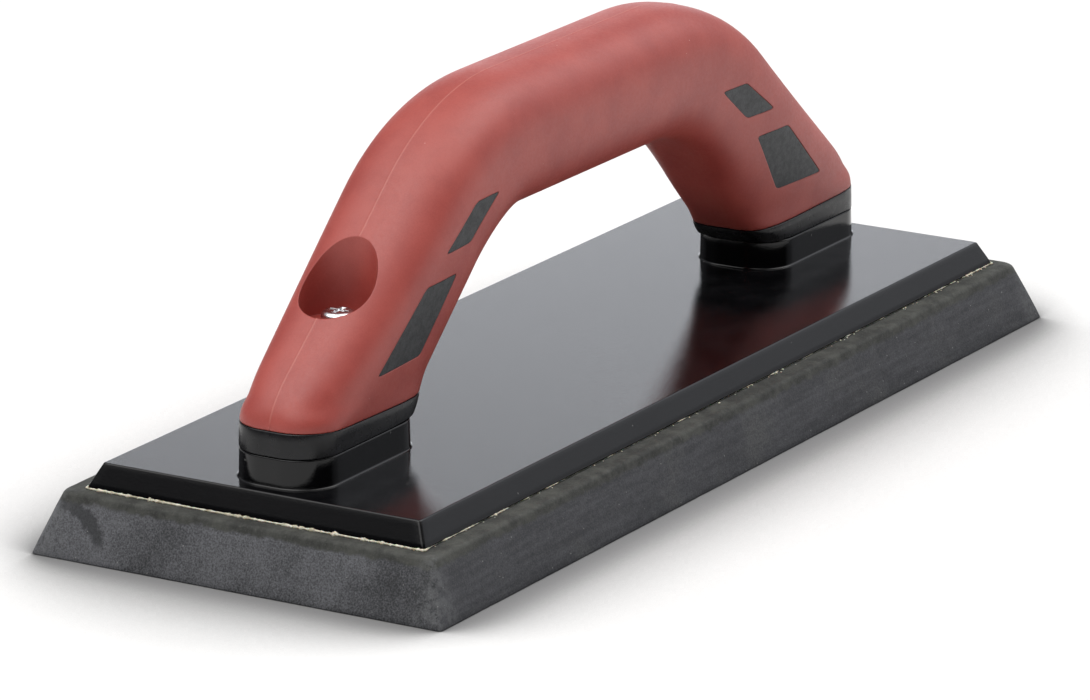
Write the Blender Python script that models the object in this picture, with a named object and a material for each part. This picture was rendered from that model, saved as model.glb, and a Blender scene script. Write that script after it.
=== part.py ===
"""Grout float: a bevelled gum-rubber pad bonded to a cast plate, with a bridge handle screwed to two bosses.

X runs along the float, Y across it and Z up. The origin is the middle of the pad's working face.
"""

from math import atan2, cos, pi, radians, sin, sqrt, tan

import bmesh
import bpy

MM = 0.001
GAP = 0.3 * MM                    # clearance left between pieces that touch

# Rubber pad: a slab whose four sides lean in towards the top.
PAD_LENGTH = 266.7 * MM
PAD_WIDTH = 101.6 * MM
PAD_HEIGHT = 13.25 * MM
PAD_SIDE_LEAN = 4.5 * MM          # how far the top edge sits in from the bottom edge
PAD_RIM_RADIUS = 1.25 * MM
PAD_CORNERS = (0.8 * MM, 3.0 * MM)          # plan radii of the corners, bottom and top

# Adhesive between the pad and the plate, squeezed out a little past the plate.
GLUE_BOTTOM = PAD_HEIGHT + GAP
GLUE_TOP = GLUE_BOTTOM + 0.3 * MM
GLUE_SQUEEZE_OUT = 0.6 * MM
GLUE_CORNER = 1.2 * MM

# Backing plate, cast in one piece with its two bosses.
PLATE_BOTTOM = GLUE_TOP + GAP
PLATE_TOP = 19.2 * MM
PLATE_END_INSET = 8.0 * MM        # from the pad's bottom edge to the plate's bottom edge, at the ends
PLATE_SIDE_INSET = 8.8 * MM       # and along the sides
PLATE_DRAFT = 2.5 * MM
PLATE_RIM_RADIUS = 0.5 * MM
PLATE_CORNERS = (0.5 * MM, 0.6 * MM)

# Boss plan, which the handle's feet follow.
BOSS_OUTER_END = 119.4 * MM       # distance of the boss's outer end from the float's middle
BOSS_HALF_LENGTH = 22.2 * MM
BOSS_HALF_WIDTH = 11.6 * MM
BOSS_CORNER = 9.4 * MM
BOSS_TOP = 25.6 * MM
BOSS_DRAFT = 0.15 * MM
BOSS_FILLET = 0.5 * MM
BOSS_EDGE = 0.45 * MM
BOSS_MIDDLE = BOSS_OUTER_END - BOSS_HALF_LENGTH

# Handle centreline: a straight leg, an arc and a level grip, mirrored about X = 0.
LEG_ANGLE = radians(48.3)         # lean of the legs from the vertical
LEG_FOOT_X = 103.5 * MM           # leg centreline at the boss's top
GRIP_HEIGHT = 74.5 * MM           # height of the level grip's centreline
BEND_RADIUS = 49.0 * MM
BEND_Z = GRIP_HEIGHT - BEND_RADIUS                  # centre of the bend
KNEE_Z = BEND_Z + BEND_RADIUS * sin(LEG_ANGLE)      # where the leg runs into the bend
BEND_X = LEG_FOOT_X - (KNEE_Z - BOSS_TOP) * tan(LEG_ANGLE) - BEND_RADIUS * cos(LEG_ANGLE)
TURN_START = 38.0 * MM            # height at which the section planes start to turn upright
LEG_TURN_LENGTH = (KNEE_Z - TURN_START) / cos(LEG_ANGLE)
BEND_LENGTH = BEND_RADIUS * (pi / 2 - LEG_ANGLE)

# Handle section: half thickness and half width at the foot, the knee and the grip.
FOOT_HALF_THICK, KNEE_HALF_THICK, GRIP_HALF_THICK = 18.8 * MM, 15.5 * MM, 15.2 * MM
FOOT_HALF_WIDE, KNEE_HALF_WIDE, GRIP_HALF_WIDE = 11.45 * MM, 13.9 * MM, 14.0 * MM
LEG_EGG, GRIP_EGG = 0.15, 0.05    # how much wider the outer side is than the middle
OUTER_ROUNDNESS = 2.5             # superellipse power of the outer side
LEG_SQUARENESS, GRIP_SQUARENESS = 4.4, 2.5   # the same for the inner side
FOOT_SQUARENESS = 5.5             # the same all round at the foot, which follows the boss
SQUARE_BLEND = 10.0 * MM          # height over which the foot's section turns into the leg's
FOOT_TRIM = 2.9 * MM              # how much thinner the outer side is at the foot than the inner side
FOOT_BLEND = 15.0 * MM            # height over which that fades out
SHOULDER_SOFTNESS = 2.5 * MM      # rounding where the leg meets the upright end of the foot

FOOT_BOTTOM = BOSS_TOP + GAP
COLLAR_TOP = 30.3 * MM            # black collar below, soft grip above, at the leg's centreline
SEAM_TILT = radians(2.1)          # the seam between them is higher at the outer end
GRIP_WALL = 2.7 * MM              # thickness of the soft layer over the core

# Inlays: windows in the soft layer, filled flush by the core. Corners are (x, z) on the side of a leg.
LOWER_WINDOW = ((64.8, 54.1), (78.0, 54.1), (95.8, 38.7), (77.1, 38.7))
UPPER_WINDOW = ((48.1, 68.3), (58.2, 68.3), (70.9, 59.6), (59.7, 59.6))
WINDOW_CORNER = 1.3 * MM
WINDOW_INNER_Y = 8.1 * MM
INLAY_INNER_Y = 7.0 * MM
BEYOND_HANDLE = 30.0 * MM

# Screws and their recesses, one upright through each leg.
SCREW_X = 91.5 * MM
RECESS_RADIUS = 8.4 * MM
RECESS_FLOOR = 47.6 * MM
LINER_RADIUS = 9.8 * MM           # outside of the soft tube that lines the recess
LINER_FLOOR = 1.2 * MM
LINER_LIMIT = 1.5 * MM            # the liner stops this far under the grip's surface
CORE_SEAT = RECESS_FLOOR - LINER_FLOOR - GAP
WASHER_WINDOW = 5.6 * MM
WASHER_RADIUS = 5.15 * MM
WASHER_BODY_RADIUS = 3.9 * MM
WASHER_THICKNESS = 0.7 * MM
WASHER_TEETH = 12
TOOTH_TWIST = 0.18 * MM
SCREW_RADIUS = 2.4 * MM
SCREW_CLEARANCE = 2.75 * MM
HEAD_RADIUS = 4.5 * MM
HEAD_HEIGHT = 3.3 * MM
HEAD_RIM = 1.2 * MM
DRIVE_HALF_LENGTH = 2.3 * MM
DRIVE_HALF_WIDTH = 0.55 * MM
DRIVE_DEPTH = 1.9 * MM
DRIVE_TAPER = 0.5                 # size of the drive recess at its floor, as a share of its mouth
SCREW_TIP = 16.6 * MM
HOLE_BOTTOM = 15.4 * MM
ABOVE_HANDLE = 110.0 * MM

RING_POINTS = 36
CORE_RING_POINTS = 28
LEG_STEPS, BEND_STEPS, LEVEL_STEPS = 9, 8, 3


def clear_scene():
    for old in list(bpy.data.objects):
        bpy.data.objects.remove(old, do_unlink=True)


def make_material(name, colour, roughness, metallic=0.0):
    material = bpy.data.materials.new(name)
    material.use_nodes = True
    shader = material.node_tree.nodes["Principled BSDF"]
    shader.inputs["Base Color"].default_value = (*colour, 1.0)
    shader.inputs["Roughness"].default_value = roughness
    shader.inputs["Metallic"].default_value = metallic
    return material


def add_object(name, bm, material=None, sharp_angle=radians(35)):
    """Turns a bmesh into a named object, with every face pointing out."""
    bmesh.ops.recalc_face_normals(bm, faces=bm.faces)
    mesh = bpy.data.meshes.new(name)
    bm.to_mesh(mesh)
    bm.free()
    mesh.shade_smooth()
    mesh.set_sharp_from_angle(angle=sharp_angle)
    if material is not None:
        mesh.materials.append(material)
    item = bpy.data.objects.new(name, mesh)
    bpy.context.scene.collection.objects.link(item)
    return item


def add_cutter(name, bm):
    """An object that only shapes others."""
    cutter = add_object(name, bm)
    cutter.hide_render = True
    cutter.display_type = 'WIRE'
    return cutter


def combine(item, operation, other):
    boolean = item.modifiers.new(f"{operation.title()} {other.name}", 'BOOLEAN')
    boolean.operation = operation
    boolean.solver = 'EXACT'
    boolean.object = other


def loft(bm, rings):
    """Skins a list of rings with equal point counts and caps both ends."""
    loops = [[bm.verts.new(point) for point in ring] for ring in rings]
    for lower, upper in zip(loops, loops[1:]):
        for i in range(len(lower)):
            j = (i + 1) % len(lower)
            bm.faces.new((lower[i], lower[j], upper[j], upper[i]))
    bm.faces.new(loops[0])
    bm.faces.new(list(reversed(loops[-1])))


def circle(x, radius, z, points=32):
    angles = [2 * pi * i / points for i in range(points)]
    return [(x + radius * cos(a), radius * sin(a), z) for a in angles]


def rounded_rectangle(half_x, half_y, corner, steps=7):
    """Plan outline with round corners, anticlockwise from the +X side."""
    outline = []
    for quarter, (sign_x, sign_y) in enumerate(((1, 1), (-1, 1), (-1, -1), (1, -1))):
        for i in range(steps + 1):
            angle = pi / 2 * (quarter + i / steps)
            outline.append((sign_x * (half_x - corner) + corner * cos(angle),
                            sign_y * (half_y - corner) + corner * sin(angle)))
    return outline


def add_slab(bm, half_x, half_y, bottom, top, lean, rim_radius, corners, rim_steps=4):
    """A slab whose sides lean in by `lean` and roll over a rim into its top.

    `corners` are the plan radii of its upright corners at the bottom and at the top.
    """
    slope = atan2(lean, top - bottom)
    centre_z = top - rim_radius
    start_z = centre_z + rim_radius * sin(slope)
    centre_inset = (start_z - bottom) * tan(slope) + rim_radius * cos(slope)
    levels = [(0.0, bottom)]
    for i in range(rim_steps + 1):
        angle = mix(slope, pi / 2, i / rim_steps)
        levels.append((centre_inset - rim_radius * cos(angle), centre_z + rim_radius * sin(angle)))
    rings = []
    for inset, z in levels:
        corner = mix(*corners, (z - bottom) / (top - bottom))
        outline = rounded_rectangle(half_x - inset, half_y - inset, corner, 4)
        rings.append([(x, y, z) for x, y in outline])
    loft(bm, rings)


def smooth_step(value):
    value = min(max(value, 0.0), 1.0)
    return value * value * (3 - 2 * value)


def soft_minimum(a, b, softness):
    return 0.5 * (a + b - sqrt((a - b) ** 2 + softness ** 2))


def mix(a, b, share):
    return a + (b - a) * share


def foot_limit(y, inset):
    """Furthest |x| the foot reaches at a given y: the boss's outer end with its round corners."""
    past_flat = min(max(abs(y) - (BOSS_HALF_WIDTH - BOSS_CORNER), 0.0), BOSS_CORNER)
    return BOSS_OUTER_END - inset - BOSS_CORNER + sqrt(BOSS_CORNER ** 2 - past_flat ** 2)


def handle_stations(foot_z):
    """Half of the handle from the +X foot to the middle.

    Each station is (x, z, plane angle, normal angle, leg share, bend share). Section planes are level at the
    foot, tilt to the seam, and swing upright on the way to the level grip.
    """
    stations = [leg_station(mix(foot_z, KNEE_Z, i / LEG_STEPS)) for i in range(LEG_STEPS)]
    for i in range(BEND_STEPS + 1):
        share = i / BEND_STEPS
        angle = mix(LEG_ANGLE, pi / 2, share)
        x = BEND_X + BEND_RADIUS * cos(angle)
        z = BEND_Z + BEND_RADIUS * sin(angle)
        turn = (LEG_TURN_LENGTH + BEND_LENGTH * share) / (LEG_TURN_LENGTH + BEND_LENGTH)
        stations.append((x, z, mix(SEAM_TILT, pi / 2, smooth_step(turn)), angle, 1.0, smooth_step(share)))
    for i in range(1, LEVEL_STEPS + 1):
        stations.append((BEND_X * (1 - i / LEVEL_STEPS), GRIP_HEIGHT, pi / 2, pi / 2, 1.0, 1.0))
    return stations


def leg_station(z):
    """The station at height z on the straight leg."""
    x = LEG_FOOT_X - (z - BOSS_TOP) * tan(LEG_ANGLE)
    leg_share = smooth_step((z - BOSS_TOP) / (KNEE_Z - BOSS_TOP))
    turn = max(z - TURN_START, 0.0) / cos(LEG_ANGLE) / (LEG_TURN_LENGTH + BEND_LENGTH)
    tilt = SEAM_TILT * min(max((z - FOOT_BOTTOM) / (COLLAR_TOP - FOOT_BOTTOM), 0.0), 1.0)
    return x, z, mix(tilt, pi / 2, smooth_step(turn)), LEG_ANGLE, leg_share, 0.0


def handle_ring(station, inset, points):
    """One section of the handle, `inset` inside its surface, on the +X half."""
    x, z, plane, normal, leg_share, bend_share = station
    thick = mix(mix(FOOT_HALF_THICK, KNEE_HALF_THICK, leg_share), GRIP_HALF_THICK, bend_share) - inset
    wide = mix(mix(FOOT_HALF_WIDE, KNEE_HALF_WIDE, leg_share), GRIP_HALF_WIDE, bend_share) - inset
    above_foot = smooth_step((z - BOSS_TOP) / SQUARE_BLEND)
    outer_thick = thick - FOOT_TRIM * (1 - smooth_step((z - BOSS_TOP) / FOOT_BLEND))
    egg = mix(LEG_EGG, GRIP_EGG, bend_share) * above_foot
    inner_power = mix(FOOT_SQUARENESS, mix(LEG_SQUARENESS, GRIP_SQUARENESS, bend_share), above_foot)
    outer_power = mix(FOOT_SQUARENESS, OUTER_ROUNDNESS, above_foot)
    stretch = 1 / cos(normal - plane)
    ring = []
    for i in range(points):
        angle = 2 * pi * (i + 0.5) / points
        power = 2 / (outer_power if sin(angle) > 0 else inner_power)
        across = abs(cos(angle)) ** power * (1 if cos(angle) > 0 else -1)
        along = abs(sin(angle)) ** power * (1 if sin(angle) > 0 else -1)
        y = wide * across * (1 + egg * along)
        reach = (outer_thick if along > 0 else thick) * stretch * along
        ring_x = soft_minimum(x + reach * cos(plane), foot_limit(y, inset), SHOULDER_SOFTNESS)
        ring.append((ring_x, y, z + reach * sin(plane)))
    return ring


def handle_rings(foot_z, inset, points):
    """Sections of the whole handle from the +X foot over the grip to the -X foot."""
    half = [handle_ring(station, inset, points) for station in handle_stations(foot_z)]
    mirrored = [[(-x, y, z) for x, y, z in ring] for ring in reversed(half[:-1])]
    return half + mirrored


def add_handle_solid(name, foot_z, inset, points):
    bm = bmesh.new()
    loft(bm, handle_rings(foot_z, inset, points))
    return add_cutter(name, bm)


def round_corners(corners, radius, steps=3):
    """Replaces each corner of a polygon by a short quadratic curve."""
    outline = []
    for i, (x, z) in enumerate(corners):
        ends = []
        for near_x, near_z in (corners[i - 1], corners[(i + 1) % len(corners)]):
            length = sqrt((near_x - x) ** 2 + (near_z - z) ** 2)
            ends.append((x + (near_x - x) * radius / length, z + (near_z - z) * radius / length))
        for step in range(steps + 1):
            t = step / steps
            outline.append(tuple((1 - t) ** 2 * a + 2 * t * (1 - t) * b + t * t * c
                                 for a, b, c in zip(ends[0], (x, z), ends[1])))
    return outline


def shrink(corners, distance):
    """Moves the sides of a convex clockwise polygon in by `distance`."""
    result = []
    for i, (x, z) in enumerate(corners):
        before, after = corners[i - 1], corners[(i + 1) % len(corners)]
        normals = []
        for (ax, az), (bx, bz) in ((before, (x, z)), ((x, z), after)):
            length = sqrt((bx - ax) ** 2 + (bz - az) ** 2)
            normals.append(((bz - az) / length, (ax - bx) / length))
        (nx, nz), (mx, mz) = normals
        scale = distance / (1 + nx * mx + nz * mz)
        result.append((x + (nx + mx) * scale, z + (nz + mz) * scale))
    return result


def add_window_prisms(name, inset, inner_y):
    """Prisms through both windows on both sides of both legs."""
    bm = bmesh.new()
    for window in (LOWER_WINDOW, UPPER_WINDOW):
        corners = shrink([(x * MM, z * MM) for x, z in window], inset)
        outline = round_corners(corners, WINDOW_CORNER)
        for end in (1, -1):
            for side in (1, -1):
                loft(bm, [[(end * x, side * y, z) for x, z in outline] for y in (inner_y, BEYOND_HANDLE)])
    return add_cutter(name, bm)


def add_turned(bm, x, profile, points=32):
    """A solid turned about the upright line at x, from (radius, z) pairs bottom to top."""
    loft(bm, [circle(x, radius, z, points) for radius, z in profile])


def add_turned_pair(name, profile, points=32):
    bm = bmesh.new()
    for x in (SCREW_X, -SCREW_X):
        add_turned(bm, x, profile, points)
    return add_cutter(name, bm)


def build_rubber_pad(material):
    bm = bmesh.new()
    add_slab(bm, PAD_LENGTH / 2, PAD_WIDTH / 2, 0.0, PAD_HEIGHT, PAD_SIDE_LEAN, PAD_RIM_RADIUS, PAD_CORNERS)
    add_object("rubber_pad", bm, material)


def build_adhesive_layer(material):
    bm = bmesh.new()
    half_x = PAD_LENGTH / 2 - PLATE_END_INSET + GLUE_SQUEEZE_OUT
    half_y = PAD_WIDTH / 2 - PLATE_SIDE_INSET + GLUE_SQUEEZE_OUT
    rings = [[(x, y, z) for x, y in rounded_rectangle(half_x, half_y, GLUE_CORNER, 3)]
             for z in (GLUE_BOTTOM, GLUE_TOP)]
    loft(bm, rings)
    add_object("adhesive_layer", bm, material)


def boss_rings(middle):
    """Fillet at the plate, drafted side and eased top edge of one boss."""
    buried = PLATE_TOP - 1 * MM
    levels = [(BOSS_FILLET, buried)]
    for i in range(5):
        angle = pi / 2 * i / 4
        levels.append((BOSS_FILLET * (1 - sin(angle)), PLATE_TOP + BOSS_FILLET * (1 - cos(angle))))
    levels.append((-BOSS_DRAFT, BOSS_TOP - BOSS_EDGE))
    levels.append((-BOSS_DRAFT - BOSS_EDGE, BOSS_TOP))
    rings = []
    for grow, z in levels:
        outline = rounded_rectangle(BOSS_HALF_LENGTH + grow, BOSS_HALF_WIDTH + grow, BOSS_CORNER + grow)
        rings.append([(middle + x, y, z) for x, y in outline])
    return rings


def build_backing_plate(material):
    bm = bmesh.new()
    half_x = PAD_LENGTH / 2 - PLATE_END_INSET
    half_y = PAD_WIDTH / 2 - PLATE_SIDE_INSET
    add_slab(bm, half_x, half_y, PLATE_BOTTOM, PLATE_TOP, PLATE_DRAFT, PLATE_RIM_RADIUS, PLATE_CORNERS, 2)
    plate = add_object("backing_plate", bm, material)
    bosses = bmesh.new()
    for middle in (BOSS_MIDDLE, -BOSS_MIDDLE):
        loft(bosses, boss_rings(middle))
    combine(plate, 'UNION', add_cutter("boss_shapes", bosses))
    holes = add_turned_pair("plate_screw_holes", [(SCREW_CLEARANCE, HOLE_BOTTOM),
                                                  (SCREW_CLEARANCE, BOSS_TOP + 5 * MM)], 24)
    combine(plate, 'DIFFERENCE', holes)


def build_handle_core(material, handle_shape):
    """Hard core: a collar at each foot, a spine under the soft layer and eight flush inlays."""
    bm = bmesh.new()
    collar_levels = (FOOT_BOTTOM, mix(FOOT_BOTTOM, COLLAR_TOP, 0.5), COLLAR_TOP)
    collar = [handle_ring(leg_station(z), 0.0, CORE_RING_POINTS) for z in collar_levels]
    spine = handle_rings(COLLAR_TOP, GRIP_WALL + GAP, CORE_RING_POINTS)
    far_collar = [[(-x, y, z) for x, y, z in ring] for ring in reversed(collar)]
    loft(bm, collar + spine + far_collar)
    core = add_object("handle_core", bm, material)
    inlays = add_window_prisms("inlay_shapes", GAP, INLAY_INNER_Y)
    combine(inlays, 'INTERSECT', handle_shape)
    combine(core, 'UNION', inlays)
    seats = add_turned_pair("core_screw_seats", [(SCREW_CLEARANCE, FOOT_BOTTOM - 5 * MM),
                                                 (SCREW_CLEARANCE, CORE_SEAT),
                                                 (LINER_RADIUS + GAP, CORE_SEAT),
                                                 (LINER_RADIUS + GAP, ABOVE_HANDLE)])
    combine(core, 'DIFFERENCE', seats)


def build_grip_overmold(material):
    """Soft layer: a tube over the core, with windows for the inlays and a lined recess over each screw."""
    bottom = COLLAR_TOP + GAP
    bm = bmesh.new()
    outside = handle_rings(bottom, 0.0, RING_POINTS)
    inside = handle_rings(bottom, GRIP_WALL, RING_POINTS)
    skin_tube(bm, outside, inside)
    grip = add_object("grip_overmold", bm, material)
    liners = add_turned_pair("recess_liners", [(LINER_RADIUS, RECESS_FLOOR - LINER_FLOOR),
                                               (LINER_RADIUS, ABOVE_HANDLE)], 40)
    combine(liners, 'INTERSECT', add_handle_solid("liner_limit", bottom + GAP, LINER_LIMIT, RING_POINTS))
    combine(grip, 'UNION', liners)
    recesses = add_turned_pair("screw_recesses", [(WASHER_WINDOW, CORE_SEAT - 3 * MM),
                                                  (WASHER_WINDOW, RECESS_FLOOR),
                                                  (RECESS_RADIUS, RECESS_FLOOR),
                                                  (RECESS_RADIUS, ABOVE_HANDLE)], 40)
    combine(grip, 'DIFFERENCE', recesses)
    combine(grip, 'DIFFERENCE', add_window_prisms("window_cuts", 0.0, WINDOW_INNER_Y))


def skin_tube(bm, outside, inside):
    """A tube between two lofts with equal counts, closed by a flat rim at each end."""
    outer = [[bm.verts.new(point) for point in ring] for ring in outside]
    inner = [[bm.verts.new(point) for point in ring] for ring in inside]
    for loops, flipped in ((outer, False), (inner, True)):
        for lower, upper in zip(loops, loops[1:]):
            for i in range(len(lower)):
                j = (i + 1) % len(lower)
                face = (lower[i], lower[j], upper[j], upper[i])
                bm.faces.new(tuple(reversed(face)) if flipped else face)
    for ring_out, ring_in in ((outer[0], inner[0]), (outer[-1], inner[-1])):
        for i in range(len(ring_out)):
            j = (i + 1) % len(ring_out)
            bm.faces.new((ring_out[i], ring_out[j], ring_in[j], ring_in[i]))


def drive_arms(name, x, head_top):
    """The two tapered slots of a cross recess, as cutters."""
    corners = ((1, 1), (-1, 1), (-1, -1), (1, -1))
    levels = ((DRIVE_TAPER, -DRIVE_DEPTH), (1.0, 0.0), (1.0, 1.0 * MM))
    half_sizes = {"long": (DRIVE_HALF_LENGTH, DRIVE_HALF_WIDTH),
                  "cross": (DRIVE_HALF_WIDTH, DRIVE_HALF_LENGTH)}
    arms = []
    for arm, (half_x, half_y) in half_sizes.items():
        bm = bmesh.new()
        loft(bm, [[(x + sx * half_x * share, sy * half_y * share, head_top + rise) for sx, sy in corners]
                  for share, rise in levels])
        arms.append(add_cutter(f"{name}_{arm}", bm))
    return arms


def build_screw(name, x, material):
    """Pan-head machine screw, head up, with a cross recess."""
    head_bottom = CORE_SEAT + GAP + WASHER_THICKNESS + GAP
    head_top = head_bottom + HEAD_HEIGHT
    profile = [(SCREW_RADIUS - 0.5 * MM, SCREW_TIP), (SCREW_RADIUS, SCREW_TIP + 0.7 * MM),
               (SCREW_RADIUS, head_bottom), (HEAD_RADIUS, head_bottom)]
    for i in range(6):
        angle = pi / 2 * i / 5
        radius = HEAD_RADIUS - HEAD_RIM * (1 - cos(angle))
        profile.append((radius, head_top - HEAD_RIM * (1 - sin(angle))))
    bm = bmesh.new()
    add_turned(bm, x, profile)
    screw = add_object(name, bm, material)
    for arm in drive_arms(f"{name}_drive", x, head_top):
        combine(screw, 'DIFFERENCE', arm)


def build_lock_washer(name, x, material):
    """External-tooth lock washer with twisted teeth."""
    bottom = CORE_SEAT + GAP
    bm = bmesh.new()
    outline = []
    per_tooth = 4
    for i in range(WASHER_TEETH * per_tooth):
        angle = 2 * pi * i / (WASHER_TEETH * per_tooth)
        on_tooth = i % per_tooth in (1, 2)
        radius = WASHER_RADIUS if on_tooth else WASHER_BODY_RADIUS
        lift = TOOTH_TWIST * ((i % per_tooth) - 1.5) * 2 if on_tooth else 0.0
        outline.append((radius, angle, lift))
    middle = bottom + WASHER_THICKNESS / 2
    half = WASHER_THICKNESS / 2 - TOOTH_TWIST
    outer = [[(x + r * cos(a), r * sin(a), middle + lift + level) for r, a, lift in outline]
             for level in (-half, half)]
    inner = [[(x + SCREW_CLEARANCE * cos(a), SCREW_CLEARANCE * sin(a), middle + level) for _, a, _ in outline]
             for level in (-half, half)]
    skin_tube(bm, outer, inner)
    add_object(name, bm, material)


def build_float():
    rubber = make_material("gum_rubber", (0.060, 0.062, 0.066), 0.75)
    glue = make_material("adhesive", (0.62, 0.56, 0.42), 0.60)
    enamel = make_material("black_enamel", (0.012, 0.012, 0.014), 0.22)
    hard_plastic = make_material("black_plastic", (0.025, 0.026, 0.028), 0.45)
    soft_grip = make_material("red_elastomer", (0.380, 0.070, 0.050), 0.50)
    zinc = make_material("zinc_steel", (0.75, 0.76, 0.78), 0.25, 1.0)
    handle_shape = add_handle_solid("handle_shape", COLLAR_TOP + GAP, 0.0, RING_POINTS)
    build_rubber_pad(rubber)
    build_adhesive_layer(glue)
    build_backing_plate(enamel)
    build_handle_core(hard_plastic, handle_shape)
    build_grip_overmold(soft_grip)
    for end, x in (("front", -SCREW_X), ("rear", SCREW_X)):
        build_screw(f"{end}_screw", x, zinc)
        build_lock_washer(f"{end}_lock_washer", x, zinc)


clear_scene()
build_float()
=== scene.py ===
"""Looks of the grout float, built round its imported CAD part."""
from math import atan2, cos, pi, radians, sin, sqrt, tan

import bmesh
import bpy
import numpy as np
from mathutils import Matrix, Vector, noise


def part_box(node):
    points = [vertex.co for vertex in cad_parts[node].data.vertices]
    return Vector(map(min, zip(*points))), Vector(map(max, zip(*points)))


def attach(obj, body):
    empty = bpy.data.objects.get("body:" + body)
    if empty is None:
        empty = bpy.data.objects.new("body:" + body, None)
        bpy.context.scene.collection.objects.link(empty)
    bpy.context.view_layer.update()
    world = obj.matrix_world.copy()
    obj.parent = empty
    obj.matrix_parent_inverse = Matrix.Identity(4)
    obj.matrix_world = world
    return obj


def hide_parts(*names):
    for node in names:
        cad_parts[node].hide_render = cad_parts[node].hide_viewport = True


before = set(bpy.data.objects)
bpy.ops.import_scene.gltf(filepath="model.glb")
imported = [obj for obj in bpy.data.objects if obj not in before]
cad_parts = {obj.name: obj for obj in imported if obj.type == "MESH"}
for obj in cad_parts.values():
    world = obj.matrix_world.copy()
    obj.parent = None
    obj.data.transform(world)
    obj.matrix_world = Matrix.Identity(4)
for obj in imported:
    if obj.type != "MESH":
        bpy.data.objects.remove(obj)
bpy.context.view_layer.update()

MM = 0.001
SEED = 11

# ---------------------------------------------------------------- what the frame says
PAD_LOW, PAD_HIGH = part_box("rubber_pad")
PLATE_LOW, PLATE_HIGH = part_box("backing_plate")
HEAD_LOW, HEAD_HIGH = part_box("rear_screw")
WASHER_LOW, WASHER_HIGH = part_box("rear_lock_washer")

PAD_HALF = ((PAD_HIGH.x - PAD_LOW.x) / 2, (PAD_HIGH.y - PAD_LOW.y) / 2)
PLATE_HALF = ((PLATE_HIGH.x - PLATE_LOW.x) / 2, (PLATE_HIGH.y - PLATE_LOW.y) / 2)
SCREW_X = (HEAD_LOW.x + HEAD_HIGH.x) / 2
CAD_GAP = 0.3 * MM                # what the CAD part leaves between touching pieces
SEAT_Z = WASHER_LOW.z - CAD_GAP

# ---------------------------------------------------------------- shapes the boxes don't give
SEAM_Z = 13.77 * MM               # where plate and pad meet
PAD_LEAN = 4.63 * MM              # how far the pad's top edge sits in from its bottom edge
PAD_EDGE = 0.35 * MM              # rounding of the pad's bottom edge
PAD_RIM = 1.25 * MM
PAD_CORNERS = (0.9, 3.2)          # mm, radius of the upright corners at the bottom and at the top
FILM_HALF = 0.03 * MM             # half the adhesive film's thickness
FILM_INSET = 0.8 * MM
BEAD_CORNER = 0.6 * MM
CRUMBS = 150
PLATE_TOP = 19.2 * MM
PLATE_DRAFT = 2.7 * MM
PLATE_RIM = 0.5 * MM
PLATE_CORNER = 0.75 * MM
BOSS_OUTER_END = 119.4 * MM       # from the tool's middle
BOSS_HALF_LENGTH = 22.2 * MM
BOSS_HALF_WIDTH = 11.6 * MM
BOSS_CORNER = 9.4 * MM
BOSS_TOP = 25.6 * MM
BOSS_DRAFT = 0.15 * MM
BOSS_FILLET = 0.5 * MM
BOSS_EDGE = 0.3 * MM
BOSS_MIDDLE = BOSS_OUTER_END - BOSS_HALF_LENGTH

LEG_ANGLE = radians(48.3)         # from the vertical
LEG_FOOT_X = 103.5 * MM
GRIP_HEIGHT = 74.5 * MM
BEND_RADIUS = 49.0 * MM
BEND_Z = GRIP_HEIGHT - BEND_RADIUS
KNEE_Z = BEND_Z + BEND_RADIUS * sin(LEG_ANGLE)
BEND_X = LEG_FOOT_X - (KNEE_Z - BOSS_TOP) * tan(LEG_ANGLE) - BEND_RADIUS * cos(LEG_ANGLE)
TURN_START = 38.0 * MM            # where the section planes start to turn upright
LEG_TURN_LENGTH = (KNEE_Z - TURN_START) / cos(LEG_ANGLE)
BEND_LENGTH = BEND_RADIUS * (pi / 2 - LEG_ANGLE)
FOOT_HALF_THICK, KNEE_HALF_THICK, GRIP_HALF_THICK = 18.8 * MM, 15.5 * MM, 15.2 * MM
FOOT_HALF_WIDE, KNEE_HALF_WIDE, GRIP_HALF_WIDE = 11.45 * MM, 13.9 * MM, 14.0 * MM
LEG_EGG, GRIP_EGG = 0.15, 0.05
OUTER_ROUNDNESS = 2.5
LEG_SQUARENESS, GRIP_SQUARENESS = 4.4, 2.5
FOOT_SQUARENESS = 5.5             # at the foot the section follows the boss
SQUARE_BLEND = 10.0 * MM          # height over which that fades out
FOOT_TRIM = 2.9 * MM              # how much thinner the outer side is at the foot
FOOT_BLEND = 15.0 * MM            # height over which that fades out
SHOULDER_SOFTNESS = 2.5 * MM
COLLAR_BOTTOM = BOSS_TOP + 0.12 * MM
COLLAR_EDGE = 0.25 * MM
COLLAR_TOP = 30.3 * MM
SEAM_GAP = 0.08 * MM              # between the collar and the grip
SEAM_TILT = radians(2.1)          # the seam is higher at the outer end
FOOT_BOTTOM = BOSS_TOP + CAD_GAP

# Corners of the inlays' windows as (x, z) in mm, on the side of a leg.
LOWER_WINDOW = ((64.8, 54.1), (78.0, 54.1), (95.8, 38.7), (77.1, 38.7))
UPPER_WINDOW = ((48.1, 68.3), (58.2, 68.3), (70.9, 59.6), (59.7, 59.6))
WINDOW_CORNER = 1.3 * MM
WINDOW_INNER_Y, INLAY_INNER_Y = 8.6 * MM, 8.7 * MM
INLAY_GAP = 0.09 * MM
INLAY_SINK = 0.05 * MM            # how far the inlays sit under the grip's surface
RECESS_RADIUS = 8.4 * MM
RECESS_FLOOR = 47.6 * MM
GRIP_SKIN = 0.13 * MM             # leaves room for the parting line
GRIP_LIP = 0.3 * MM               # rounding of the grip's bottom edge
BEYOND_HANDLE, ABOVE_HANDLE = 30 * MM, 110 * MM

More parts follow.
